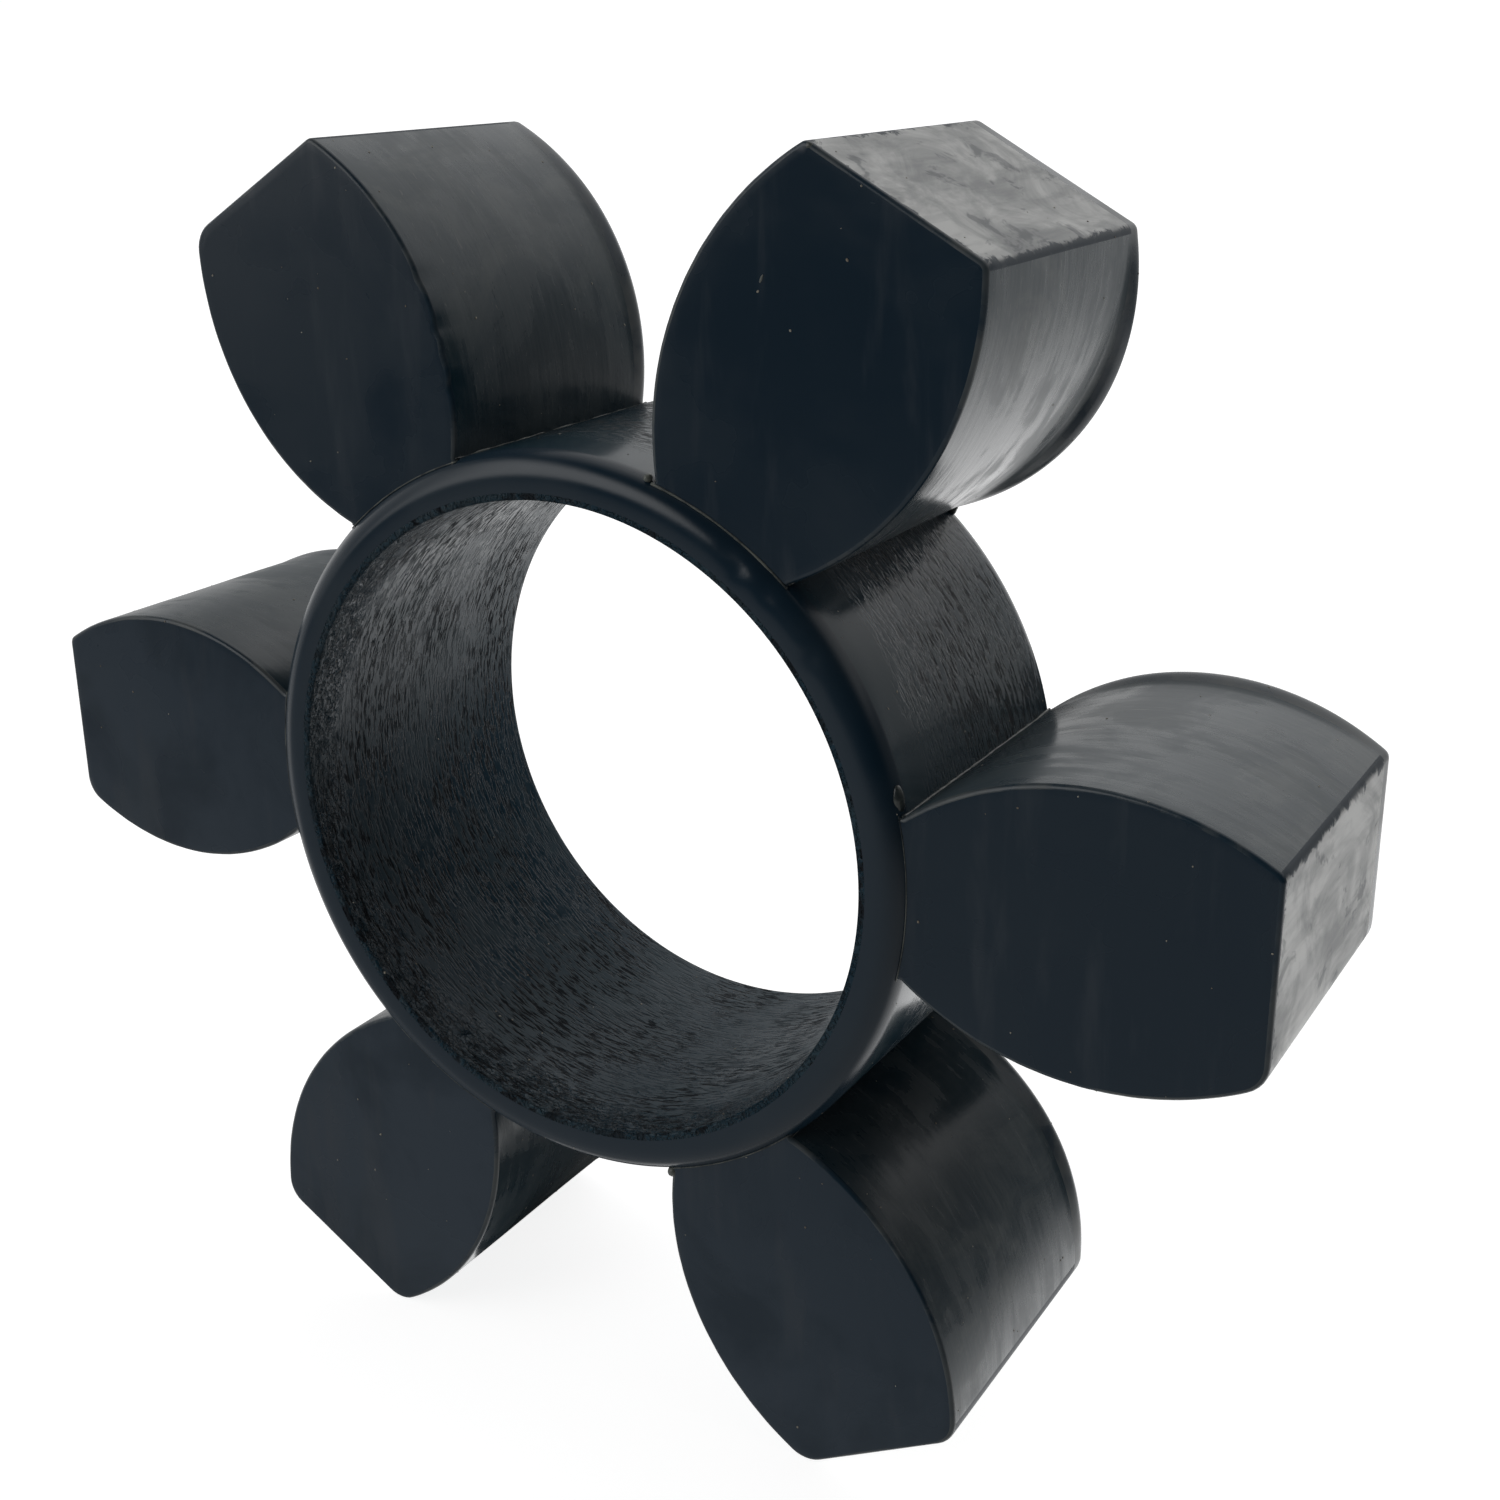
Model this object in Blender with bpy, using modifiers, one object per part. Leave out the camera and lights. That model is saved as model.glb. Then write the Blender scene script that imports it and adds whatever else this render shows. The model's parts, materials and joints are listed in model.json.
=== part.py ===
"""Rubber coupling insert: a moulded ring with six barrel-sided lobes, which sit between the jaws of two hubs.

The insert stands upright on the tips of its two lower lobes. The ring's axis lies along Y, the front faces -Y
and the origin is the ring's centre. All lengths are in metres.
"""

import math

import bmesh
import bpy

# Ring
BORE_RADIUS = 0.0342
RING_WALL = 0.0048
RING_LENGTH = 0.0380
RIM_ROUND = 0.0026  # radius on the outer edge of both rims
BORE_EDGE_BREAK = 0.0004  # small chamfer where the bore meets the rims
RING_STEPS = 96
RIM_ROUND_STEPS = 4

# Lobes
TIP_REACH = 0.0730  # ring axis to a lobe's flat tip
LOBE_THICKNESS = 0.0355
ROOT_WIDTH = 0.0165
TIP_WIDTH = 0.0196
SIDE_BULGE = 0.0055  # how far a side bows out from its chord, root to tip
SIDE_STEPS = 14
BACK_EDGE_ROUND = 0.0016
EDGE_ROUND_STEPS = 3
CRISP_CORNER = 0.0004
WORN_CORNER = 0.0015

# Lobes by their angle from straight up, clockwise seen from the front. The two values say whether the
# tip corner on the anticlockwise side and the one on the clockwise side are worn round.
LOBES = {
    30: (False, False),
    90: (False, True),
    150: (False, True),
    210: (True, True),
    270: (True, False),
    330: (True, False),
}

# Rubber
RUBBER_COLOUR = (0.018, 0.022, 0.027, 1.0)
RUBBER_ROUGHNESS = 0.42

RING_OUTER_RADIUS = BORE_RADIUS + RING_WALL
ROOT_SINK_RADIUS = BORE_RADIUS + RING_WALL / 3  # a lobe's root is sunk this deep into the ring's wall
WELD_DISTANCE = 0.00001
SHARP_ANGLE = math.radians(28)


def clear_scene():
    """Remove every object of the opened file."""
    for thing in list(bpy.data.objects):
        bpy.data.objects.remove(thing, do_unlink=True)


def new_collection(name):
    """Make a collection and link it to the scene."""
    collection = bpy.data.collections.new(name)
    bpy.context.scene.collection.children.link(collection)
    return collection


def rubber_material():
    """Black nitrile rubber with a soft gloss."""
    material = bpy.data.materials.new("moulded_rubber")
    material.use_nodes = True
    shader = material.node_tree.nodes["Principled BSDF"]
    shader.inputs["Base Color"].default_value = RUBBER_COLOUR
    shader.inputs["Roughness"].default_value = RUBBER_ROUGHNESS
    shader.inputs["Metallic"].default_value = 0.0
    return material


def coupling_axis(collection):
    """Empty whose Z axis runs along the ring, out of the front, and whose Y axis points up."""
    axis = bpy.data.objects.new("coupling_axis", None)
    axis.empty_display_size = RING_OUTER_RADIUS
    axis.rotation_euler = (math.radians(90), 0.0, 0.0)
    collection.objects.link(axis)
    return axis


def ring_profile():
    """Closed section of the ring as (radius, height) points, down the outer side and up the bore."""
    half = RING_LENGTH / 2
    rim_round = min(RIM_ROUND, RING_WALL - 2 * BORE_EDGE_BREAK, half)
    centre_radius = RING_OUTER_RADIUS - rim_round
    points = []
    for step in range(RIM_ROUND_STEPS + 1):
        angle = math.radians(90 - 90 * step / RIM_ROUND_STEPS)
        points.append((centre_radius + rim_round * math.cos(angle), half - rim_round + rim_round * math.sin(angle)))
    for step in range(RIM_ROUND_STEPS + 1):
        angle = math.radians(-90 * step / RIM_ROUND_STEPS)
        points.append((centre_radius + rim_round * math.cos(angle), -half + rim_round + rim_round * math.sin(angle)))
    points.append((BORE_RADIUS + BORE_EDGE_BREAK, -half))
    points.append((BORE_RADIUS, -half + BORE_EDGE_BREAK))
    points.append((BORE_RADIUS, half - BORE_EDGE_BREAK))
    points.append((BORE_RADIUS + BORE_EDGE_BREAK, half))
    return points


def make_ring(axis, collection, material):
    """Turn the ring's section about the coupling axis."""
    mesh = bpy.data.meshes.new("coupling_insert")
    shape = bmesh.new()
    corners = [shape.verts.new((radius, 0.0, height)) for radius, height in ring_profile()]
    for first, second in zip(corners, corners[1:] + corners[:1]):
        shape.edges.new((first, second))
    shape.to_mesh(mesh)
    shape.free()
    mesh.materials.append(material)
    ring = bpy.data.objects.new("coupling_insert", mesh)
    ring.parent = axis
    collection.objects.link(ring)
    screw = ring.modifiers.new("turn", "SCREW")
    screw.axis = "Z"
    screw.steps = RING_STEPS
    screw.render_steps = RING_STEPS
    screw.use_merge_vertices = True
    screw.merge_threshold = WELD_DISTANCE
    screw.use_smooth_shade = True
    return ring


def side_points():
    """Points of a lobe's bowed side as (reach, half width), from the ring's surface out to the tip."""
    root = (math.sqrt(RING_OUTER_RADIUS**2 - (ROOT_WIDTH / 2) ** 2), ROOT_WIDTH / 2)
    tip = (TIP_REACH, TIP_WIDTH / 2)
    chord = math.dist(root, tip)
    radius = (chord**2 / 4 + SIDE_BULGE**2) / (2 * SIDE_BULGE)
    half_angle = math.asin(min(1.0, chord / 2 / radius))
    along = ((tip[0] - root[0]) / chord, (tip[1] - root[1]) / chord)
    outward = (-along[1], along[0])
    middle = ((root[0] + tip[0]) / 2, (root[1] + tip[1]) / 2)
    points = []
    for step in range(SIDE_STEPS + 1):
        angle = half_angle * (2 * step / SIDE_STEPS - 1)
        run = radius * math.sin(angle)
        rise = radius * math.cos(angle) - (radius - SIDE_BULGE)
        points.append(
            (middle[0] + run * along[0] + rise * outward[0], middle[1] + run * along[1] + rise * outward[1])
        )
    return points


def lobe_outline():
    """Closed outline of a lobe that points along +Y, its root sunk into the ring's wall."""
    side = side_points()
    right = [(ROOT_WIDTH / 2, ROOT_SINK_RADIUS)] + [(half_width, reach) for reach, half_width in side]
    left = [(-across, up) for across, up in reversed(right)]
    return right + left


def outline_solid(name, outline, thickness):
    """Closed mesh of a flat outline with the given thickness, centred on its plane."""
    curve = bpy.data.curves.new(name, "CURVE")
    curve.dimensions = "2D"
    curve.fill_mode = "BOTH"
    curve.extrude = thickness / 2
    spline = curve.splines.new("POLY")
    spline.points.add(len(outline) - 1)
    for point, (across, up) in zip(spline.points, outline):
        point.co = (across, up, 0.0, 1.0)
    spline.use_cyclic_u = True
    drawn = bpy.data.objects.new(name, curve)
    bpy.context.scene.collection.objects.link(drawn)
    graph = bpy.context.evaluated_depsgraph_get()
    mesh = bpy.data.meshes.new_from_object(drawn.evaluated_get(graph))
    bpy.data.objects.remove(drawn, do_unlink=True)
    bpy.data.curves.remove(curve)
    shape = bmesh.new()
    shape.from_mesh(mesh)
    bmesh.ops.remove_doubles(shape, verts=shape.verts, dist=WELD_DISTANCE)
    bmesh.ops.dissolve_limit(shape, angle_limit=math.radians(0.1), verts=shape.verts, edges=shape.edges)
    bmesh.ops.recalc_face_normals(shape, faces=shape.faces)
    shape.to_mesh(mesh)
    shape.free()
    return mesh


def weigh_edges(mesh, worn_corners):
    """Set how round each edge gets: the back outline in full, the two tip corners as they are worn."""
    corner_rounds = [WORN_CORNER if worn else CRISP_CORNER for worn in worn_corners]
    shape = bmesh.new()
    shape.from_mesh(mesh)
    weights = shape.edges.layers.float.new("bevel_weight_edge")
    back = -LOBE_THICKNESS / 2
    widest_round = max(BACK_EDGE_ROUND, WORN_CORNER, CRISP_CORNER)
    for edge in shape.edges:
        start, end = (vert.co for vert in edge.verts)
        middle = (start + end) / 2
        lies_on_back = max(abs(start.z - back), abs(end.z - back)) < WELD_DISTANCE
        runs_through = abs(start.z - end.z) > LOBE_THICKNESS / 2
        is_tip_corner = runs_through and abs(middle.y - TIP_REACH) < WELD_DISTANCE
        is_sunk = middle.y < ROOT_SINK_RADIUS + WELD_DISTANCE
        if lies_on_back and not is_sunk:
            edge[weights] = BACK_EDGE_ROUND / widest_round
        elif is_tip_corner:
            edge[weights] = corner_rounds[0 if middle.x < 0 else 1] / widest_round
    shape.to_mesh(mesh)
    shape.free()
    return widest_round


def make_lobe(angle, worn_corners, axis, collection):
    """One lobe blank, set at its angle clockwise from straight up."""
    name = f"lobe_blank_{angle}"
    mesh = outline_solid(name, lobe_outline(), LOBE_THICKNESS)
    widest_round = weigh_edges(mesh, worn_corners)
    lobe = bpy.data.objects.new(name, mesh)
    lobe.parent = axis
    lobe.rotation_euler = (0.0, 0.0, -math.radians(angle))
    lobe.hide_render = True
    lobe.display_type = "WIRE"
    collection.objects.link(lobe)
    bevel = lobe.modifiers.new("rounds", "BEVEL")
    bevel.limit_method = "WEIGHT"
    bevel.width = widest_round
    bevel.segments = EDGE_ROUND_STEPS
    bevel.use_clamp_overlap = False
    return lobe


def mould_together(ring, lobes):
    """Join the ring and the lobe blanks into one solid and shade its round faces smooth."""
    for lobe in lobes:
        union = ring.modifiers.new(f"add_{lobe.name}", "BOOLEAN")
        union.operation = "UNION"
        union.solver = "EXACT"
        union.object = lobe
    graph = bpy.context.evaluated_depsgraph_get()
    mesh = bpy.data.meshes.new_from_object(ring.evaluated_get(graph))
    ring.modifiers.clear()
    ring.data = mesh
    mesh.shade_smooth()
    mesh.set_sharp_from_angle(angle=SHARP_ANGLE)


def main():
    """Model the insert."""
    clear_scene()
    parts = new_collection("rubber_coupling_insert")
    blanks = new_collection("lobe_blanks")
    axis = coupling_axis(parts)
    ring = make_ring(axis, parts, rubber_material())
    lobes = [make_lobe(angle, worn, axis, blanks) for angle, worn in LOBES.items()]
    mould_together(ring, lobes)


main()
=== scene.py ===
"""Rubber coupling insert: the moulded body, its flash and dust, and a pale studio around them.

The ring's axis lies along Y and the front faces -Y. A lobe is described in its own frame, pointing up: across
to the right, up along the lobe and depth along Y. Clockwise is as seen from the front. Lengths are in metres.
"""

import json
import logging
import math
import random
from dataclasses import dataclass, field
from enum import IntEnum
from itertools import pairwise

import bmesh
import bpy
from mathutils import Matrix, Vector, noise

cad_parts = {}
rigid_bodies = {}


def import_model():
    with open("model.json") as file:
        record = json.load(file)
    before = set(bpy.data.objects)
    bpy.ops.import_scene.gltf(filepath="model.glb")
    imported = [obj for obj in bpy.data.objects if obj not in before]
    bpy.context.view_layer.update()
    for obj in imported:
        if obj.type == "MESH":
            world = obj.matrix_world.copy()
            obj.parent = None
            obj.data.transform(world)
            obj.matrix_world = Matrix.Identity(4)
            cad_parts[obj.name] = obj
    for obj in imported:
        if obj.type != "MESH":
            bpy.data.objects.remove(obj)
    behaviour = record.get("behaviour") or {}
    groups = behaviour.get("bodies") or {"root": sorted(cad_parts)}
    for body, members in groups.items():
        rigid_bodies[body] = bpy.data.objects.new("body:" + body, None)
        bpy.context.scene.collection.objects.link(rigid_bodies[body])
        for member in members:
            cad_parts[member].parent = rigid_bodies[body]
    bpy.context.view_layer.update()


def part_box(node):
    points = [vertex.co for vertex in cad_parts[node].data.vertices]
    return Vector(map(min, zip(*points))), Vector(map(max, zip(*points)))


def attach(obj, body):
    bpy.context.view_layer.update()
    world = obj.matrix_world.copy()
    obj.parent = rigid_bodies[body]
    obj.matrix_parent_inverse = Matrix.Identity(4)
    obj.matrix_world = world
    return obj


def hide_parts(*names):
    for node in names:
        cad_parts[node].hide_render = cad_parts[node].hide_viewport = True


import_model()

LOG = logging.getLogger("coupling_insert")
NODE = "coupling_insert"
BODY = "root"
MM = 0.001
LOBE_PITCH = 60  # degrees from lobe to lobe
FIRST_LOBE = 30  # degrees from straight up to the first lobe

BOX_LOW, BOX_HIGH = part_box(NODE)
TIP_REACH = BOX_HIGH[0]
RIM_DEPTH = BOX_HIGH[1]
TOP_HEIGHT = BOX_HIGH[2]
FLOOR_HEIGHT = BOX_LOW[2]

Colour = tuple[float, float, float, float]
Scales = tuple[float, float, float]
Socket = bpy.types.NodeSocket


class Zone(IntEnum):
    """Surface zones of the moulding, in the order of the body's material slots."""

    FACE = 0
    FLANK = 1
    TIP = 2
    BORE = 3
    WALL = 4
    RIM = 5
    EDGE = 6


class Side(IntEnum):
    """The two flanks of a lobe, by their place in pairs of values."""

    ANTICLOCKWISE = 0
    CLOCKWISE = 1

    @property
    def sign(self) -> float:
        """Direction of the flank across the lobe."""
        return 1.0 if self is Side.CLOCKWISE else -1.0


Outline = list[tuple[float, float, Zone]]


def wobble(spot: Vector, scales: Scales, seed: float = 0.0) -> float:
    """Smooth noise between about -1 and 1.

    Args:
        spot: Point in metres.
        scales: Features per metre along each axis.
        seed: Offset that picks another patch of the noise.

    Returns:
        The noise value at the point.
    """
    across, along, up = (value * scale for value, scale in zip(spot, scales))
    return noise.noise(Vector((across + seed, along + seed, up - seed)))


def ray(turn: float) -> Vector:
    """Unit vector across the axis, at an angle in radians clockwise from straight up."""
    return Vector((math.sin(turn), 0.0, math.cos(turn)))


@dataclass(frozen=True)
class Cloud:
    """Noise pattern: features per metre on each axis, octaves, strength of the fine ones, and distortion."""

    scales: Scales
    detail: float = 2.0
    roughness: float = 0.5
    twist: float = 0.0


@dataclass(frozen=True)
class Ramp:
    """Smooth map from low and high to start and end, which clamps what lies outside."""

    low: float
    high: float
    start: float = 0.0
    end: float = 1.0


class NodeSketch:
    """Short-hand for laying out shader nodes."""

    def __init__(self, tree: bpy.types.NodeTree, place: str) -> None:
        """Start on a node tree, with the coordinates that its patterns lie in."""
        self.tree = tree
        self.place = self.add("ShaderNodeTexCoord").outputs[place]

    def add(self, kind: str, **settings: object) -> bpy.types.Node:
        """Add a node and set its properties."""
        node = self.tree.nodes.new(kind)
        for name, value in settings.items():
            setattr(node, name, value)
        return node

    def plug(self, source: object, target: Socket) -> None:
        """Link a socket, or set a plain value."""
        if isinstance(source, bpy.types.NodeSocket):
            self.tree.links.new(source, target)
        else:
            target.default_value = source

    def math(self, operation: str, first: object, second: object = 0.0) -> Socket:
        """Join two values with a Math node."""
        node = self.add("ShaderNodeMath", operation=operation)
        self.plug(first, node.inputs[0])
        self.plug(second, node.inputs[1])
        return node.outputs[0]

    def sum(self, first: object, second: object) -> Socket:
        """Sum of two values."""
        return self.math("ADD", first, second)

    def product(self, first: object, *others: object) -> Socket:
        """Product of two or more values."""
        for other in others:
            first = self.math("MULTIPLY", first, other)
        return first

    def rest(self, share: object) -> Socket:
        """What a share leaves of 1."""
        return self.math("SUBTRACT", 1.0, share)

    def axis(self, name: str) -> Socket:
        """One of the three coordinates, X, Y or Z."""
        node = self.add("ShaderNodeSeparateXYZ")
        self.plug(self.place, node.inputs[0])
        return node.outputs[name]

    def cloud(self, cloud: Cloud) -> Socket:
        """Noise between 0 and 1.

        Args:
            cloud: The pattern.

        Returns:
            The noise value's socket.
        """
        mapping = self.add("ShaderNodeMapping")
        self.plug(self.place, mapping.inputs["Vector"])
        mapping.inputs["Scale"].default_value = cloud.scales
        node = self.add("ShaderNodeTexNoise")
        self.plug(mapping.outputs["Vector"], node.inputs["Vector"])
        node.inputs["Scale"].default_value = 1.0
        node.inputs["Detail"].default_value = cloud.detail
        node.inputs["Roughness"].default_value = cloud.roughness
        node.inputs["Distortion"].default_value = cloud.twist
        return node.outputs[0]

    def between(self, value: object, ramp: Ramp) -> Socket:
        """Map a value along a ramp.

        Args:
            value: Socket to map.
            ramp: The ramp.

        Returns:
            The mapped value's socket.
        """
        node = self.add("ShaderNodeMapRange", interpolation_type="SMOOTHSTEP")
        self.plug(value, node.inputs["Value"])
        node.inputs["From Min"].default_value = ramp.low
        node.inputs["From Max"].default_value = ramp.high
        node.inputs["To Min"].default_value = ramp.start
        node.inputs["To Max"].default_value = ramp.end
        return node.outputs["Result"]

    def share(self, cloud: Cloud, ramp: Ramp) -> Socket:
        """A noise pattern mapped along a ramp."""
        return self.between(self.cloud(cloud), ramp)

    def blend(self, share: object, first: object, second: object) -> Socket:
        """Mix two colours."""
        node = self.add("ShaderNodeMix", data_type="RGBA")
        self.plug(share, node.inputs[0])
        self.plug(first, node.inputs[6])
        self.plug(second, node.inputs[7])
        return node.outputs[2]

    def bump(self, height: object, distance: float, under: Socket | None = None) -> Socket:
        """Stack a bump on an earlier one.

        Args:
            height: Height field, 0 to 1.
            distance: Height in metres that 1 stands for.
            under: Normal socket of the bump below, if any.

        Returns:
            The new normal's socket.
        """
        node = self.add("ShaderNodeBump")
        node.inputs["Strength"].default_value = 1.0
        node.inputs["Distance"].default_value = distance
        self.plug(height, node.inputs["Height"])
        if under is not None:
            self.plug(under, node.inputs["Normal"])
        return node.outputs["Normal"]


class MaterialSketch(NodeSketch):
    """Node sketch of a material with a Principled shader."""

    def __init__(self, name: str) -> None:
        """Start a material with nothing but an output and the shader."""
        self.material = bpy.data.materials.new(name)
        self.material.use_nodes = True
        super().__init__(self.material.node_tree, "Object")
        self.shader = self.tree.nodes["Principled BSDF"]

    def set(self, name: str, value: object) -> None:
        """Link one of the shader's sockets, or set its plain value."""
        self.plug(value, self.shader.inputs[name])


@dataclass(frozen=True)
class RubberFinish:
    """Black rubber as it leaves the mould: blue-black, with cloudy patches, soft gloss and fine grain."""

    name: str
    deep: Colour = (0.0045, 0.0175, 0.0320, 1.0)
    pale: Colour = (0.0080, 0.0210, 0.0350, 1.0)
    refraction: float = 1.42
    gloss_rough: float = 0.20
    dull_rough: float = 0.32
    cloud_scale: float = 55.0
    patchy: Ramp = Ramp(0.36, 0.66)
    waves: Cloud = Cloud((85.0,) * 3, 1.0)
    wave_height: float = 0.06 * MM
    grain: Cloud = Cloud((2600.0,) * 3, 1.0)
    grain_height: float = 0.004 * MM

    def patches(self, sketch: NodeSketch) -> Socket:
        """Cloudy patches, 0 to 1."""
        return sketch.share(Cloud((self.cloud_scale,) * 3, 4.0, 0.55, 0.4), self.patchy)

    def skin(self, sketch: NodeSketch, patches: Socket) -> Socket:
        """Body colour."""
        return sketch.blend(patches, self.deep, self.pale)

    def gloss(self, sketch: NodeSketch, patches: Socket) -> Socket:
        """Roughness."""
        return sketch.between(patches, Ramp(0.0, 1.0, self.gloss_rough, self.dull_rough))

    def relief(self, sketch: NodeSketch) -> Socket:
        """Slow unevenness of the skin under a fine grain."""
        slow = sketch.bump(sketch.cloud(self.waves), self.wave_height)
        return sketch.bump(sketch.cloud(self.grain), self.grain_height, slow)

    def material(self) -> bpy.types.Material:
        """Build the finish.

        Returns:
            The finished material.
        """
        sketch = MaterialSketch(self.name)
        patches = self.patches(sketch)
        sketch.set("Base Color", self.skin(sketch, patches))
        sketch.set("Roughness", self.gloss(sketch, patches))
        sketch.set("IOR", self.refraction)
        sketch.set("Normal", self.relief(sketch))
        return sketch.material


@dataclass(frozen=True)
class FaceFinish(RubberFinish):
    """Flat faces: matt, faint upright streaks and a painted reflection that lightens lower and left faces."""

    refraction: float = 1.38
    gloss_rough: float = 0.23
    dull_rough: float = 0.31
    # Painted reflection: a bluish-grey film that grows towards the lower and left faces, as if they mirrored
    # brighter floor, in cloudy patches
    film: Colour = (0.0250, 0.0420, 0.0620, 1.0)
    sheen_slant: float = 0.75
    sheen_fade: Ramp = Ramp(0.030, -0.055, 0.0, 0.85)
    sheen_cloud: Cloud = Cloud((75.0, 40.0, 75.0), 5.0, 0.55, 0.4)
    sheen_share: Ramp = Ramp(0.34, 0.60, 0.15, 1.0)
    streak: Colour = (0.0340, 0.0460, 0.0600, 1.0)
    streak_cloud: Cloud = Cloud((260.0, 90.0, 45.0), 4.0, 0.55, 0.3)
    streak_share: Ramp = Ramp(0.52, 0.74, 0.0, 0.55)

    def skin(self, sketch: NodeSketch, patches: Socket) -> Socket:
        """Streaks over a painted reflection, lighter on the lower and left faces, over the blue-black."""
        clean = sketch.blend(patches, self.deep, self.pale)
        # Painted reflection: lighter towards the lower and left faces, in cloudy patches
        sideways = sketch.product(sketch.axis("X"), self.sheen_slant)
        film = sketch.between(sketch.sum(sketch.axis("Z"), sideways), self.sheen_fade)
        uneven = sketch.share(self.sheen_cloud, self.sheen_share)
        sheened = sketch.blend(sketch.product(film, uneven), clean, self.film)
        return sketch.blend(sketch.share(self.streak_cloud, self.streak_share), sheened, self.streak)


@dataclass(frozen=True)
class FlankFinish(RubberFinish):
    """Bowed flanks: smooth skin with rubbed patches, brushed streaks along the bow and hair scratches."""

    deep: Colour = (0.0050, 0.0230, 0.0350, 1.0)
    gloss_rough: float = 0.19
    dull_rough: float = 0.38
    rubbed: Colour = (0.0260, 0.0440, 0.0540, 1.0)
    rubbed_share: float = 0.7
    broad: Cloud = Cloud((62.0,) * 3, 5.0, 0.6, 0.8)
    strokes: Cloud = Cloud((95.0, 620.0, 95.0), 3.0, 0.6)
    stroke_share: float = 0.45
    patchy: Ramp = Ramp(0.56, 0.92)
    smudge: Colour = (0.0600, 0.0760, 0.0800, 1.0)
    smudge_cloud: Cloud = Cloud((110.0, 70.0, 110.0), 6.0, 0.64, 0.9)
    smudge_share: Ramp = Ramp(0.47, 0.64, 0.0, 0.65)
    smudge_reach: Ramp = Ramp(0.044, 0.062, 0.3, 1.0)
    scratch: Colour = (0.110, 0.115, 0.115, 1.0)
    hair: Cloud = Cloud((140.0, 2400.0, 520.0), 2.0, 0.7, 1.2)
    hair_share: Ramp = Ramp(0.65, 0.71)
    hair_place: Ramp = Ramp(0.2, 0.6, 0.0, 0.7)
    brushed: Cloud = Cloud((120.0, 900.0, 120.0), 3.0, 0.6)
    brush_height: float = 0.022 * MM

    def patches(self, sketch: NodeSketch) -> Socket:
        """Rubbed patches with strokes along the bow."""
        strokes = sketch.product(sketch.cloud(self.strokes), self.stroke_share)
        return sketch.between(sketch.sum(sketch.cloud(self.broad), strokes), self.patchy)

    def reach(self, sketch: NodeSketch) -> Socket:
        """Distance from the ring's axis."""
        across, up = sketch.axis("X"), sketch.axis("Z")
        return sketch.math("SQRT", sketch.sum(sketch.product(across, across), sketch.product(up, up)))

    def skin(self, sketch: NodeSketch, patches: Socket) -> Socket:
        """Rubbed patches, smudges that grow towards the tip and scratches over the blue-black."""
        worn = sketch.blend(sketch.product(patches, self.rubbed_share), self.deep, self.rubbed)
        smudges = sketch.share(self.smudge_cloud, self.smudge_share)
        smudges = sketch.product(smudges, sketch.between(self.reach(sketch), self.smudge_reach))
        worn = sketch.blend(smudges, worn, self.smudge)
        lines = sketch.share(self.hair, self.hair_share)
        lines = sketch.product(lines, sketch.between(patches, self.hair_place))
        return sketch.blend(lines, worn, self.scratch)

    def relief(self, sketch: NodeSketch) -> Socket:
        """The skin's unevenness with shallow strokes along the bow."""
        return sketch.bump(sketch.cloud(self.brushed), self.brush_height, super().relief(sketch))


@dataclass(frozen=True)
class TipFinish(RubberFinish):
    """Flat tips: a grey scuffed film with cloudy strokes, worn off in blotches and along ragged edges.

    The bites out of the film and its edge are in millimetres, like the body's margin attribute.
    """

    refraction: float = 1.36
    gloss_rough: float = 0.50
    dull_rough: float = 0.38
    scuffed: Colour = (0.540, 0.544, 0.530, 1.0)
    clouds: Cloud = Cloud((120.0, 85.0, 120.0), 6.0, 0.62, 0.9)
    cloud_share: Ramp = Ramp(0.38, 0.62, 0.55, 1.0)
    strokes: Cloud = Cloud((420.0, 70.0, 420.0), 4.0, 0.6, 0.3)
    stroke_share: Ramp = Ramp(0.38, 0.60, 0.75, 1.0)
    blotches: Cloud = Cloud((210.0, 150.0, 210.0), 4.0, 0.62, 0.6)
    blotch_share: Ramp = Ramp(0.35, 0.43, 0.50, 1.0)
    bites: Cloud = Cloud((330.0,) * 3, 6.0, 0.68, 0.5)
    bite_depth: Ramp = Ramp(0.42, 0.72)
    edge: Ramp = Ramp(-0.05, 0.40)

    def patches(self, sketch: NodeSketch) -> Socket:
        """How much of the grey film is left."""
        film = sketch.product(
            sketch.share(self.clouds, self.cloud_share),
            sketch.share(self.strokes, self.stroke_share),
            sketch.share(self.blotches, self.blotch_share),
        )
        margin = sketch.add("ShaderNodeAttribute", attribute_name="margin").outputs["Fac"]
        bitten = sketch.math("SUBTRACT", margin, sketch.share(self.bites, self.bite_depth))
        return sketch.product(film, sketch.between(bitten, self.edge))

    def skin(self, sketch: NodeSketch, patches: Socket) -> Socket:
        """Grey film over the blue-black."""
        return sketch.blend(patches, self.deep, self.scuffed)


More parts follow.
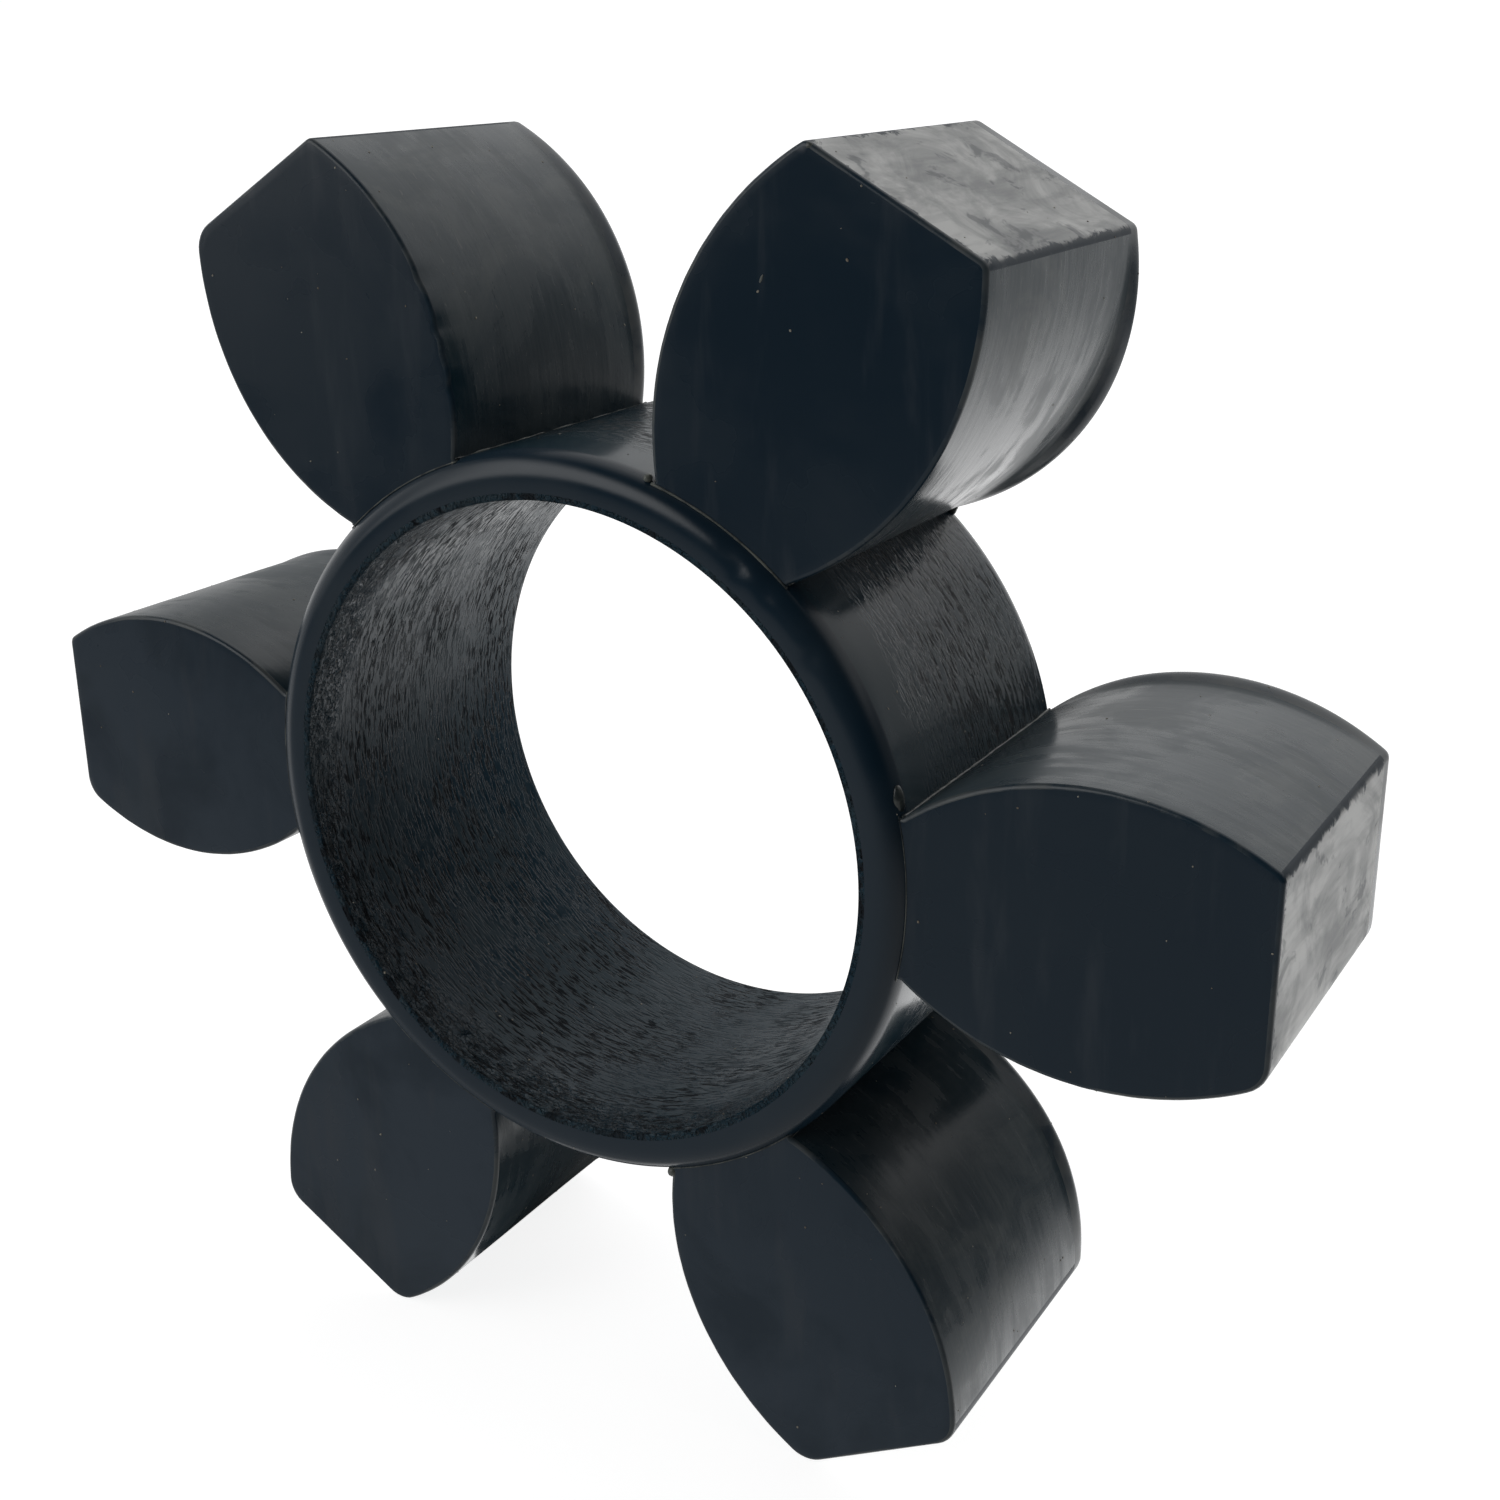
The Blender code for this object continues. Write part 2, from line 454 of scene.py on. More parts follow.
@dataclass(frozen=True)
class SwirledFinish(RubberFinish):
    """A bore or wall with short hair-fine marks round the ring, left by the core and the mould."""

    # Painted shade: the near-black colour of the marks' grooves
    groove: Colour = (0.0010, 0.0045, 0.0090, 1.0)
    groove_rough: float = 0.45
    fine: Cloud = Cloud((560.0, 3200.0, 560.0), 2.0, 0.6)
    fine_share: Ramp = Ramp(0.37, 0.50)
    coarse: Cloud = Cloud((360.0, 1900.0, 360.0), 3.0, 0.6)
    coarse_share: Ramp = Ramp(0.33, 0.45)
    mark_height: float = 0.10 * MM
    areas: Cloud = Cloud((95.0,) * 3, 3.0)
    area_share: Ramp = Ramp(0.38, 0.58, 0.30, 1.0)
    smooth_from: float = -30.0 * MM
    smooth_fade: float = 7.0 * MM
    wander: Cloud = Cloud((120.0,) * 3, 2.0)
    wander_reach: float = 7.0 * MM
    pits: Cloud = Cloud((1500.0, 1900.0, 1500.0), 3.0, 0.65)
    pit_share: Ramp = Ramp(0.38, 0.56)
    pit_height: float = 0.0
    pit_depth: float = -13.5 * MM
    pit_fade: float = 4.0 * MM

    def marks(self, sketch: NodeSketch) -> Socket:
        """Short dashes round the ring: 0 in a groove and 1 on the skin between them."""
        fine = sketch.share(self.fine, self.fine_share)
        skin = sketch.product(fine, sketch.share(self.coarse, self.coarse_share))
        strength = sketch.share(self.areas, self.area_share)
        return sketch.rest(sketch.product(sketch.rest(skin), strength))

    def depth(self, sketch: NodeSketch) -> Socket:
        """Depth along the ring with a wandering offset, for uneven borders."""
        return sketch.sum(sketch.axis("Y"), sketch.product(sketch.cloud(self.wander), self.wander_reach))

    def worked(self, sketch: NodeSketch) -> Socket:
        """The dashes where the surface has them, and 1 on its smooth front part."""
        start = Ramp(self.smooth_from, self.smooth_from + self.smooth_fade)
        reached = sketch.between(self.depth(sketch), start)
        return sketch.rest(sketch.product(sketch.rest(self.marks(sketch)), reached))

    def skin(self, sketch: NodeSketch, patches: Socket) -> Socket:
        """Grooves painted near-black as shade, in the cloudy skin."""
        return sketch.blend(self.worked(sketch), self.groove, sketch.blend(patches, self.deep, self.pale))

    def gloss(self, sketch: NodeSketch, patches: Socket) -> Socket:
        """Satin skin with dull grooves."""
        dull = sketch.product(sketch.rest(self.worked(sketch)), self.groove_rough)
        return sketch.sum(super().gloss(sketch, patches), dull)

    def relief(self, sketch: NodeSketch) -> Socket:
        """Dashes round the ring, with a pitted band near the front edge where there is one."""
        normal = sketch.bump(self.worked(sketch), self.mark_height, super().relief(sketch))
        if self.pit_height:
            pits = sketch.share(self.pits, self.pit_share)
            fade = Ramp(self.pit_depth, self.pit_depth + self.pit_fade, 1.0, 0.0)
            band = sketch.between(self.depth(sketch), fade)
            normal = sketch.bump(sketch.product(pits, band), self.pit_height, normal)
        return normal


FINISHES: dict[Zone, RubberFinish] = {
    Zone.FACE: FaceFinish("moulded_face"),
    Zone.FLANK: FlankFinish("moulded_flank"),
    Zone.TIP: TipFinish("scuffed_tip"),
    Zone.BORE: SwirledFinish(
        "swirled_bore",
        # Painted light: a bluer, lighter body colour than the faces' stands in for the blue cast of the dim
        # light inside the bore
        deep=(0.0030, 0.0250, 0.0430, 1.0),
        pale=(0.0160, 0.0400, 0.0560, 1.0),
        refraction=1.30,
        gloss_rough=0.24,
        dull_rough=0.36,
        cloud_scale=110.0,
        mark_height=0.18 * MM,
        area_share=Ramp(0.38, 0.58, 0.25, 1.0),
        pit_height=0.30 * MM,
    ),
    Zone.WALL: SwirledFinish(
        "swirled_wall",
        deep=(0.0035, 0.0240, 0.0400, 1.0),
        pale=(0.0110, 0.0330, 0.0450, 1.0),
        gloss_rough=0.16,
        dull_rough=0.25,
        smooth_from=-9.0 * MM,
    ),
    Zone.RIM: RubberFinish(
        "moulded_rim",
        deep=(0.0070, 0.0210, 0.0360, 1.0),
        pale=(0.0130, 0.0270, 0.0410, 1.0),
        gloss_rough=0.19,
        dull_rough=0.27,
    ),
    # Painted highlight: pale grey patches on the rounded edges stand in for the thin light lines along them
    Zone.EDGE: RubberFinish(
        "moulded_edge_highlight",
        deep=(0.0100, 0.0260, 0.0420, 1.0),
        pale=(0.0650, 0.0760, 0.0800, 1.0),
        gloss_rough=0.24,
        dull_rough=0.36,
        cloud_scale=150.0,
    ),
}
# Painted highlight: the flash is coloured far lighter than the body's rubber, so its thin beads show as light
# lines
FLASH_FINISH = RubberFinish(
    "thin_flash_highlight", deep=(0.025, 0.032, 0.034, 1.0), pale=(0.130, 0.140, 0.125, 1.0), cloud_scale=320.0
)


def linked_object(
    name: str, shape: bmesh.types.BMesh, materials: list[bpy.types.Material]
) -> bpy.types.Object:
    """Turn a bmesh into an object.

    Args:
        name: Name of the object and its mesh.
        shape: The mesh; it is freed.
        materials: The materials of its slots.

    Returns:
        The new object, linked to the scene.
    """
    bmesh.ops.recalc_face_normals(shape, faces=shape.faces)
    mesh = bpy.data.meshes.new(name)
    shape.to_mesh(mesh)
    shape.free()
    for material in materials:
        mesh.materials.append(material)
    thing = bpy.data.objects.new(name, mesh)
    bpy.context.scene.collection.objects.link(thing)
    return thing


def zone_materials() -> list[bpy.types.Material]:
    """The rubber materials in the order of the zones."""
    return [bpy.data.materials[FINISHES[zone].name] for zone in Zone]


@dataclass(frozen=True)
class Dent:
    """A small round dent in the front rim, by its angle and its distance from the axis."""

    angle: float
    radius: float
    size: float = 1.0 * MM
    sink: float = 0.16 * MM

    def pull(self, spot: Vector) -> Vector:
        """How far the dent pushes a point in, straight back from the front."""
        centre = ray(math.radians(self.angle)) * self.radius + Vector((0.0, -RIM_DEPTH, 0.0))
        gap = (spot - centre).length / self.size
        return Vector((0.0, self.sink * math.exp(-gap * gap), 0.0))


@dataclass
class Ring:
    """The turned ring that carries the lobes."""

    bore_radius: float = 34.2 * MM
    wall: float = 4.8 * MM
    rim_round: float = 2.6 * MM
    bore_edge: float = 0.3 * MM
    crown_drop: float = 0.12 * MM
    steps: int = 396
    bore_rows: int = 78
    wall_rows: int = 32
    round_rows: int = 9
    edge_rows: int = 3
    crown_rows: int = 4
    sway: float = 0.07 * MM
    sway_scales: Scales = (60.0,) * 3
    mark_height: float = 0.035 * MM
    mark_scales: Scales = (330.0, 1300.0, 330.0)
    pit_sink: float = 0.308 * MM
    pit_least: float = 0.05
    pit_scales: Scales = (900.0,) * 3
    pit_band: float = 5.0 * MM
    pit_spread: float = 0.45
    pit_spread_scales: Scales = (110.0,) * 3
    dents: tuple[Dent, ...] = (
        Dent(33.0, 38.0 * MM),
        Dent(35.5, 37.0 * MM),
        Dent(41.0, 37.8 * MM),
        Dent(52.0, 37.2 * MM),
    )

    @property
    def outer_radius(self) -> float:
        """Radius of the wall that the lobes stand on."""
        return self.bore_radius + self.wall

    def arc(self, centre: tuple[float, float], start: float, end: float, zone: Zone) -> Outline:
        """Rounded edge of the section: an outer one of the rim, or an inner one of the bore's mouth.

        Args:
            centre: Distance of the arc's centre from the axis, and its depth.
            start: First angle in degrees, 0 outwards and 90 towards the back.
            end: Last angle in degrees.
            zone: Zone of the arc, which tells the outer edge from the inner one.

        Returns:
            Radius, depth and zone of each point.
        """
        outer = zone is Zone.RIM
        size = self.rim_round if outer else self.bore_edge
        rows = self.round_rows if outer else self.edge_rows
        points = []
        for step in range(rows + 1):
            turn = math.radians(start + (end - start) * step / rows)
            points.append((centre[0] + size * math.cos(turn), centre[1] + size * math.sin(turn), zone))
        return points

    def section(self) -> Outline:
        """Closed section of the ring.

        Returns:
            Radius, depth and zone of each point, over the front rim, along the wall to the back rim and
            forward again through the bore.
        """
        crown = self.outer_radius - self.rim_round
        corner = RIM_DEPTH - self.rim_round
        lip_radius = self.bore_radius + self.bore_edge
        lip_depth = RIM_DEPTH - self.crown_drop - self.bore_edge
        rows = self.arc((crown, -corner), -90.0, 0.0, Zone.RIM)
        for step in range(1, self.wall_rows):
            rows.append((self.outer_radius, -corner + 2 * corner * step / self.wall_rows, Zone.WALL))
        rows += self.arc((crown, corner), 0.0, 90.0, Zone.RIM)
        slope = []
        for step in range(1, self.crown_rows):
            share = step / self.crown_rows
            radius = crown + (lip_radius - crown) * share
            slope.append((radius, RIM_DEPTH - self.crown_drop * share * share, Zone.RIM))
        rows += slope
        rows += self.arc((lip_radius, lip_depth), 90.0, 180.0, Zone.BORE)
        for step in range(1, self.bore_rows):
            rows.append((self.bore_radius, lip_depth - 2 * lip_depth * step / self.bore_rows, Zone.BORE))
        rows += self.arc((lip_radius, -lip_depth), 180.0, 270.0, Zone.BORE)
        return rows + [(radius, -depth, zone) for radius, depth, zone in slope[::-1]]

    def bore_push(self, spot: Vector) -> float:
        """How far the bore's marks and pits move a point away from the axis.

        Args:
            spot: Point on the bore.

        Returns:
            The distance, more than 0 away from the axis.
        """
        marks = self.mark_height * wobble(spot, self.mark_scales, seed=5.0)
        from_front = spot.y + RIM_DEPTH
        if from_front > self.pit_band * (1 + self.pit_spread):
            return marks
        border = self.pit_band * (1 + self.pit_spread * wobble(spot, self.pit_spread_scales, seed=8.0))
        share = max(0.0, min(1.0, (border - from_front) / MM, from_front / MM))
        pit = max(0.0, wobble(spot, self.pit_scales, seed=2.0) - self.pit_least)
        return marks + self.pit_sink * share * pit

    def build(self) -> bpy.types.Object:
        """Sweep the section round the axis, with the slight unevenness of soft rubber.

        Returns:
            The ring as an object.
        """
        rows = self.section()
        shape = bmesh.new()
        grid: list[list[bmesh.types.BMVert]] = []
        for index in range(self.steps):
            outward = ray(2 * math.pi * index / self.steps)
            loop = []
            for radius, depth, zone in rows:
                spot = outward * radius + Vector((0.0, depth, 0.0))
                push = 0.0
                if zone in (Zone.BORE, Zone.WALL):
                    push = self.sway * wobble(spot, self.sway_scales, seed=3.0)
                if zone is Zone.BORE and radius == self.bore_radius:
                    push += self.bore_push(spot)
                if zone is Zone.RIM and depth < 0:
                    spot += sum((dent.pull(spot) for dent in self.dents), Vector())
                loop.append(shape.verts.new(spot + outward * push))
            grid.append(loop)
        for here, beside in pairwise(grid + grid[:1]):
            for row, beyond in pairwise(list(range(len(rows))) + [0]):
                face = shape.faces.new((here[row], beside[row], beside[beyond], here[beyond]))
                pair = (rows[row][2], rows[beyond][2])
                face.material_index = pair[0] if pair[1] is Zone.RIM else pair[1]
        return linked_object("ring", shape, zone_materials())


@dataclass(frozen=True)
class Nick:
    """A small bite out of the clockwise flank's front edge: how far out it is, its half length and depth."""

    reach: float
    length: float
    sink: float


@dataclass(frozen=True)
class Layer:
    """One outline of a lobe's loft: its inset, depth, share of the flared lip, and own zone if it has one."""

    inset: float
    depth: float
    lip: float = 0.0
    zone: Zone | None = None


@dataclass
class Lobe:
    """One barrel-sided lobe. Pairs of values are for its anticlockwise and its clockwise side."""

    angle: float
    worn: tuple[bool, bool] = (False, False)
    lips: tuple[float, float] = (0.35 * MM, 0.35 * MM)
    nicks: tuple[Nick, ...] = ()
    ring: Ring = field(default_factory=Ring)
    reach: float = TIP_REACH
    thickness: float = 35.5 * MM
    root_width: float = 16.5 * MM
    tip_width: float = 19.6 * MM
    bulge: float = 5.5 * MM
    front_round: float = 0.45 * MM
    back_round: float = 1.4 * MM
    flare: float = 2.6 * MM
    face_insets: tuple[float, float] = (2.6 * MM, 1.2 * MM)
    back_inset: float = 3.2 * MM
    corner_range: tuple[float, float] = (0.05 * MM, 6.0 * MM)
    corner_halvings: int = 30
    least_corner: float = 0.03 * MM
    slack: float = 0.03 * MM
    flank_steps: int = 52
    corner_steps: int = 6
    tip_steps: int = 9
    depth_rows: int = 20
    front_rows: int = 3
    flare_rows: int = 5
    back_rows: int = 5
    sway: float = 0.06 * MM
    sway_scales: Scales = (75.0,) * 3
    ragged: float = 0.035 * MM
    ragged_scales: Scales = (700.0,) * 3
    ragged_reach: float = 0.9 * MM

    @property
    def turned(self) -> Matrix:
        """Turns a lobe that points straight up to its own angle."""
        return Matrix.Rotation(math.radians(self.angle), 3, "Y")

    @property
    def root(self) -> Vector:
        """Where the clockwise flank leaves the ring, across and up."""
        half = self.root_width / 2
        return Vector((half, math.sqrt(self.ring.outer_radius**2 - half**2)))

    def flank_circle(self) -> tuple[float, float, float]:
        """Circle of the clockwise flank: its centre across and up, and its radius."""
        tip = Vector((self.tip_width / 2, self.reach))
        chord = tip - self.root
        radius = (chord.length**2 / 4 + self.bulge**2) / (2 * self.bulge)
        outward = Vector((chord.y, -chord.x)).normalized()
        centre = (self.root + tip) / 2 - outward * (radius - self.bulge)
        return centre.x, centre.y, radius

    def corner_centre(self, corner: float, inset: float) -> tuple[float, float]:
        """Centre of a tip corner's round, across and up."""
        across, up, radius = self.flank_circle()
        top = self.reach - inset - corner
        return across + math.sqrt((radius - inset - corner) ** 2 - (top - up) ** 2), top

    def corner_round(self, height: float) -> float:
        """Tip corner's round that lets a lobe which leans like the first one reach up to a height.

        Args:
            height: How far the corner reaches from the ring's axis, straight up.

        Returns:
            The round's radius, found by halving.
        """
        lean = math.radians(FIRST_LOBE)
        low, high = self.corner_range
        for _ in range(self.corner_halvings):
            middle = (low + high) / 2
            across, up = self.corner_centre(middle, 0.0)
            if across * math.sin(lean) + up * math.cos(lean) + middle > height:
                low = middle
            else:
                high = middle
        return high

    def half_outline(self, side: Side, inset: float, lip: float) -> Outline:
        """Outline of one half, moved in by an inset and out by a lip that fades at both ends of the flank.

        Args:
            side: Which half.
            inset: How far inside the true outline it runs.
            lip: How far the middle of the flank stands out.

        Returns:
            Across, up and zone of each point, from the sunk root to the tip.
        """
        across, up, radius = self.flank_circle()
        full = self.corner_round((-FLOOR_HEIGHT if self.worn[side] else TOP_HEIGHT) - self.slack)
        corner = max(full - inset, self.least_corner)
        middle, top = self.corner_centre(corner, inset)
        start = math.atan2(self.root.y - up, self.root.x - across)
        end = math.atan2(top - up, middle - across)
        sunk = self.ring.bore_radius + self.ring.wall / 3
        points = [(self.root.x - inset, sunk, Zone.FLANK)]
        for step in range(self.flank_steps + 1):
            share = step / self.flank_steps
            turn = start + (end - start) * share
            flank = radius - inset + lip * math.sin(math.pi * share)
            points.append((across + flank * math.cos(turn), up + flank * math.sin(turn), Zone.FLANK))
        for step in range(1, self.corner_steps + 1):
            turn = end + (math.pi / 2 - end) * step / self.corner_steps
            points.append((middle + corner * math.cos(turn), top + corner * math.sin(turn), Zone.TIP))
        for step in range(1, self.tip_steps):
            points.append((middle * (1 - step / self.tip_steps), self.reach - inset, Zone.TIP))
        return [(place * side.sign, height, zone) for place, height, zone in points]

    def outline(self, layer: Layer) -> Outline:
        """Whole outline of a layer as across, up and zone."""
        right = self.half_outline(Side.CLOCKWISE, layer.inset, layer.lip * self.lips[Side.CLOCKWISE])
        left = self.half_outline(Side.ANTICLOCKWISE, layer.inset, layer.lip * self.lips[Side.ANTICLOCKWISE])
        return right + [(0.0, self.reach - layer.inset, Zone.TIP)] + left[::-1]

    def layers(self) -> list[Layer]:
        """Outlines from the middle of the front face to that of the back."""
        front, back = -self.thickness / 2, self.thickness / 2
        rows = [Layer(inset, front, zone=Zone.FACE) for inset in self.face_insets]
        for step in range(self.front_rows + 1):
            turn = math.pi / 2 * step / self.front_rows
            depth = front + self.front_round * (1 - math.cos(turn))
            rows.append(Layer(self.front_round * (1 - math.sin(turn)), depth, zone=Zone.EDGE))
        flared = back - self.back_round - self.flare
        start = front + self.front_round
        for step in range(1, self.depth_rows + 1):
            rows.append(Layer(0.0, start + (flared - start) * step / self.depth_rows))
        for step in range(1, self.flare_rows + 1):
            share = step / self.flare_rows
            lip = share * share * (3 - 2 * share)
            rows.append(Layer(0.0, flared + self.flare * share, lip, Zone.EDGE if share > 0.5 else None))
        for step in range(1, self.back_rows + 1):
            turn = math.pi / 2 * step / self.back_rows
            depth = back - self.back_round * (1 - math.sin(turn))
            rows.append(Layer(self.back_round * (1 - math.cos(turn)), depth, 1.0, Zone.EDGE))
        rows.append(Layer(self.back_inset, back, zone=Zone.FACE))
        return rows

    def drift(self, across: float, up: float, depth: float, spot: Vector) -> float:
        """How far a flank point moves outwards: slow sway, a ragged front edge and its nicks.

        Args:
            across: The point's place across the lobe.
            up: Its place along the lobe.
            depth: Its depth.
            spot: The same point with the lobe turned to its angle.

        Returns:
            The distance, more than 0 outwards.
        """
        if up < self.ring.outer_radius:
            return 0.0
        near_edge = math.exp(-(depth + self.thickness / 2) / self.ragged_reach)
        move = self.sway * wobble(spot, self.sway_scales, seed=9.0) * (1 - near_edge)
        move += self.ragged * wobble(spot, self.ragged_scales, seed=4.0) * near_edge
        for nick in self.nicks:
            if across > 0:
                gap = (up - nick.reach) / nick.length
                move -= nick.sink * math.exp(-gap * gap) * near_edge
        return move

    def build(self) -> bpy.types.Object:
        """Loft the outlines and close both faces.

        Returns:
            The lobe as an object, turned to its angle.
        """
        shape = bmesh.new()
        layers = self.layers()
        grid: list[list[bmesh.types.BMVert]] = []
        for layer in layers:
            loop = []
            for across, up, zone in self.outline(layer):
                spot = self.turned @ Vector((across, layer.depth, up))
                if zone is Zone.FLANK and layer.zone is not Zone.FACE:
                    side = self.turned @ Vector((math.copysign(1.0, across), 0.0, 0.0))
                    spot += side * self.drift(across, up, layer.depth, spot)
                loop.append(shape.verts.new(spot))
            grid.append(loop)
        zones = [zone for _, _, zone in self.outline(layers[0])]
        for row in range(len(grid) - 1):
            flat = layers[row].depth == layers[row + 1].depth
            own_zone = Zone.FACE if flat else layers[row + 1].zone
            for index, beyond in pairwise(list(range(len(zones))) + [0]):
                corners = (grid[row][index], grid[row][beyond], grid[row + 1][beyond], grid[row + 1][index])
                face = shape.faces.new(corners)
                face.material_index = max(zones[index], zones[beyond]) if own_zone is None else own_zone
        for loop in (grid[0], grid[-1][::-1]):
            shape.faces.new(loop).material_index = Zone.FACE
        return linked_object(f"lobe_{self.angle:.0f}", shape, zone_materials())


@dataclass
class MouldedBody:
    """The whole moulding: the ring with its lobes, as one piece of rubber."""

    ring: Ring
    lobes: list[Lobe]
    smooth_below: float = math.radians(34)

    def margin(self, spot: Vector) -> float:
        """Distance in millimetres from a point on a tip to the tip's nearest edge."""
        lobe = self.lobes[0]
        sector = math.floor(math.degrees(math.atan2(spot.x, spot.z)) / LOBE_PITCH)
        upright = Matrix.Rotation(-math.radians(LOBE_PITCH * sector + FIRST_LOBE), 3, "Y") @ spot
        return max(0.0, min(lobe.tip_width / 2 - abs(upright.x), lobe.thickness / 2 - abs(upright.y))) / MM

    def build(self) -> bpy.types.Object:
        """Join the lobes to the ring.

        Returns:
            The body, which stands for the solid.
        """
        body = self.ring.build()
        body.name = "moulded_body"
        blanks = [lobe.build() for lobe in self.lobes]
        for blank in blanks:
            union = body.modifiers.new(blank.name, "BOOLEAN")
            union.operation = "UNION"
            union.solver = "EXACT"
            union.object = blank
        graph = bpy.context.evaluated_depsgraph_get()
        joined = bpy.data.meshes.new_from_object(body.evaluated_get(graph))
        body.modifiers.clear()
        body.data = joined
        for blank in blanks:
            bpy.data.objects.remove(blank, do_unlink=True)
        joined.shade_smooth()
        joined.set_sharp_from_angle(angle=self.smooth_below)
        margins = joined.attributes.new("margin", "FLOAT", "POINT")
        margins.data.foreach_set("value", [self.margin(vertex.co) for vertex in joined.vertices])
        weighted = body.modifiers.new("even_faces", "WEIGHTED_NORMAL")
        weighted.keep_sharp = True
        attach(body, BODY)
        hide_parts(NODE)
        return body


@dataclass(frozen=True)
class Lump:
    """A small smooth lump of flash: its place, its half sizes and the angle of the radius it sits on."""

    place: tuple[float, float, float]
    size: tuple[float, float, float]
    angle: float


@dataclass
class Flash:
    """Thin flash left where the mould's parts met: beads at the lobes' roots, arcs at the rim, and lumps."""

    ring: Ring
    lobes: list[Lobe]
    lumps: tuple[Lump, ...]
    sides: int = 6
    thinnest: float = 0.012 * MM
    root_size: float = 0.14 * MM
    root_gaps: float = 0.75
    root_points: int = 90
    root_end: float = 0.25 * MM
    root_sway: float = 0.10 * MM
    sway_scales: Scales = (300.0,) * 3
    swell_share: float = 0.45
    swell_scales: Scales = (0.0, 900.0, 0.0)
    dash_share: float = 1.6
    dash_scales: Scales = (0.0, 420.0, 0.0)
    heavy_root: tuple[float, Side] = (90, Side.ANTICLOCKWISE)
    heavy_size: float = 0.19 * MM
    arc_size: float = 0.06 * MM
    arc_points: int = 60
    arc_overrun: float = math.radians(0.3)
    arc_lift: tuple[float, float] = (0.10 * MM, 0.02 * MM)
    arc_swell: float = 0.5
    arc_scales: Scales = (420.0,) * 3
    heavy_arc: float = 30
    heavy_arc_size: float = 0.13 * MM
    lump_sway: float = 0.30
    lump_scales: Scales = (1100.0,) * 3
    shape: bmesh.types.BMesh = field(default_factory=bmesh.new)

    def bead(self, path: list[Vector], radii: list[float]) -> None:
        """Sweep a thin bead along a path.

        Args:
            path: Points along the bead.
            radii: The bead's radius at each point.
        """
        loops = []
        for index, spot in enumerate(path):
            along = (path[min(index + 1, len(path) - 1)] - path[max(index - 1, 0)]).normalized()
            first = along.orthogonal().normalized()
            second = along.cross(first)
            loop = []
            for side in range(self.sides):
                turn = 2 * math.pi * side / self.sides
                away = first * math.cos(turn) + second * math.sin(turn)
                loop.append(self.shape.verts.new(spot + away * radii[index]))
            loops.append(loop)
        for here, beyond in pairwise(loops):
            for side, next_side in pairwise(list(range(self.sides)) + [0]):
                self.shape.faces.new((here[side], here[next_side], beyond[next_side], beyond[side]))
        self.shape.faces.new(loops[0])
        self.shape.faces.new(loops[-1][::-1])

    def root_bead(self, lobe: Lobe, side: Side, size: float, gaps: float) -> None:
        """Bead where a flank meets the ring's wall.

        Args:
            lobe: The lobe.
            side: Which flank.
            size: Mean radius of the bead.
            gaps: How far it fades out between dashes, 0 to 1.
        """
        half = lobe.thickness / 2 - self.root_end
        path, radii = [], []
        for step in range(self.root_points):
            depth = -half + 2 * half * step / (self.root_points - 1)
            spot = lobe.turned @ Vector((lobe.root.x * side.sign, depth, lobe.root.y))
            across, up = (wobble(spot, self.sway_scales, seed) for seed in (1.0, 6.0))
            swell = 1 + self.swell_share * wobble(spot, self.swell_scales, lobe.angle)
            dash = 0.5 + self.dash_share * wobble(spot, self.dash_scales, lobe.angle + 3)
            fade = 1 - gaps * max(0.0, min(1.0, dash))
            path.append(spot + Vector((across, 0.0, up)) * self.root_sway)
            radii.append(max(size * swell * fade, self.thinnest))
        self.bead(path, radii)

    def rim_arc(self, lobe: Lobe, size: float) -> None:
        """Bead in the corner between the front rim and a lobe's face.

        Args:
            lobe: The lobe.
            size: Mean radius of the bead.
        """
        reach = math.asin(lobe.root.x / self.ring.outer_radius) + self.arc_overrun
        proud = RIM_DEPTH - lobe.thickness / 2
        crown = self.ring.outer_radius - self.ring.rim_round
        outward, forward = self.arc_lift
        radius = crown + math.sqrt(self.ring.rim_round**2 - (self.ring.rim_round - proud) ** 2) + outward
        depth = Vector((0.0, -lobe.thickness / 2 - forward, 0.0))
        path, radii = [], []
        for step in range(self.arc_points):
            turn = math.radians(lobe.angle) - reach + 2 * reach * step / (self.arc_points - 1)
            spot = ray(turn) * radius + depth
            swell = 1 + self.arc_swell * wobble(spot, self.arc_scales, seed=2.0)
            path.append(spot)
            radii.append(max(size * swell, self.thinnest))
        self.bead(path, radii)

    def drop(self, lump: Lump) -> None:
        """Add one lump."""
        centre = Vector(lump.place)
        turn = Matrix.Rotation(math.radians(lump.angle), 4, "Y")
        place = Matrix.Translation(centre) @ turn @ Matrix.Diagonal(lump.size).to_4x4()
        ball = bmesh.ops.create_icosphere(self.shape, subdivisions=3, radius=1.0, matrix=place)
        for vertex in ball["verts"]:
            sway = self.lump_sway * wobble(vertex.co, self.lump_scales, seed=7.0)
            vertex.co += (vertex.co - centre) * sway

    def build(self) -> bpy.types.Object:
        """Lay every bead, arc and lump.

        Returns:
            The flash as one piece.
        """
        for lobe in self.lobes:
            for side in Side:
                if (lobe.angle, side) == self.heavy_root:
                    self.root_bead(lobe, side, self.heavy_size, 0.0)
                else:
                    self.root_bead(lobe, side, self.root_size, self.root_gaps)
            self.rim_arc(lobe, self.heavy_arc_size if lobe.angle == self.heavy_arc else self.arc_size)
        for lump in self.lumps:
            self.drop(lump)
        piece = linked_object("flash", self.shape, [FLASH_FINISH.material()])
        piece.data.shade_smooth()
        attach(piece, BODY)
        return piece


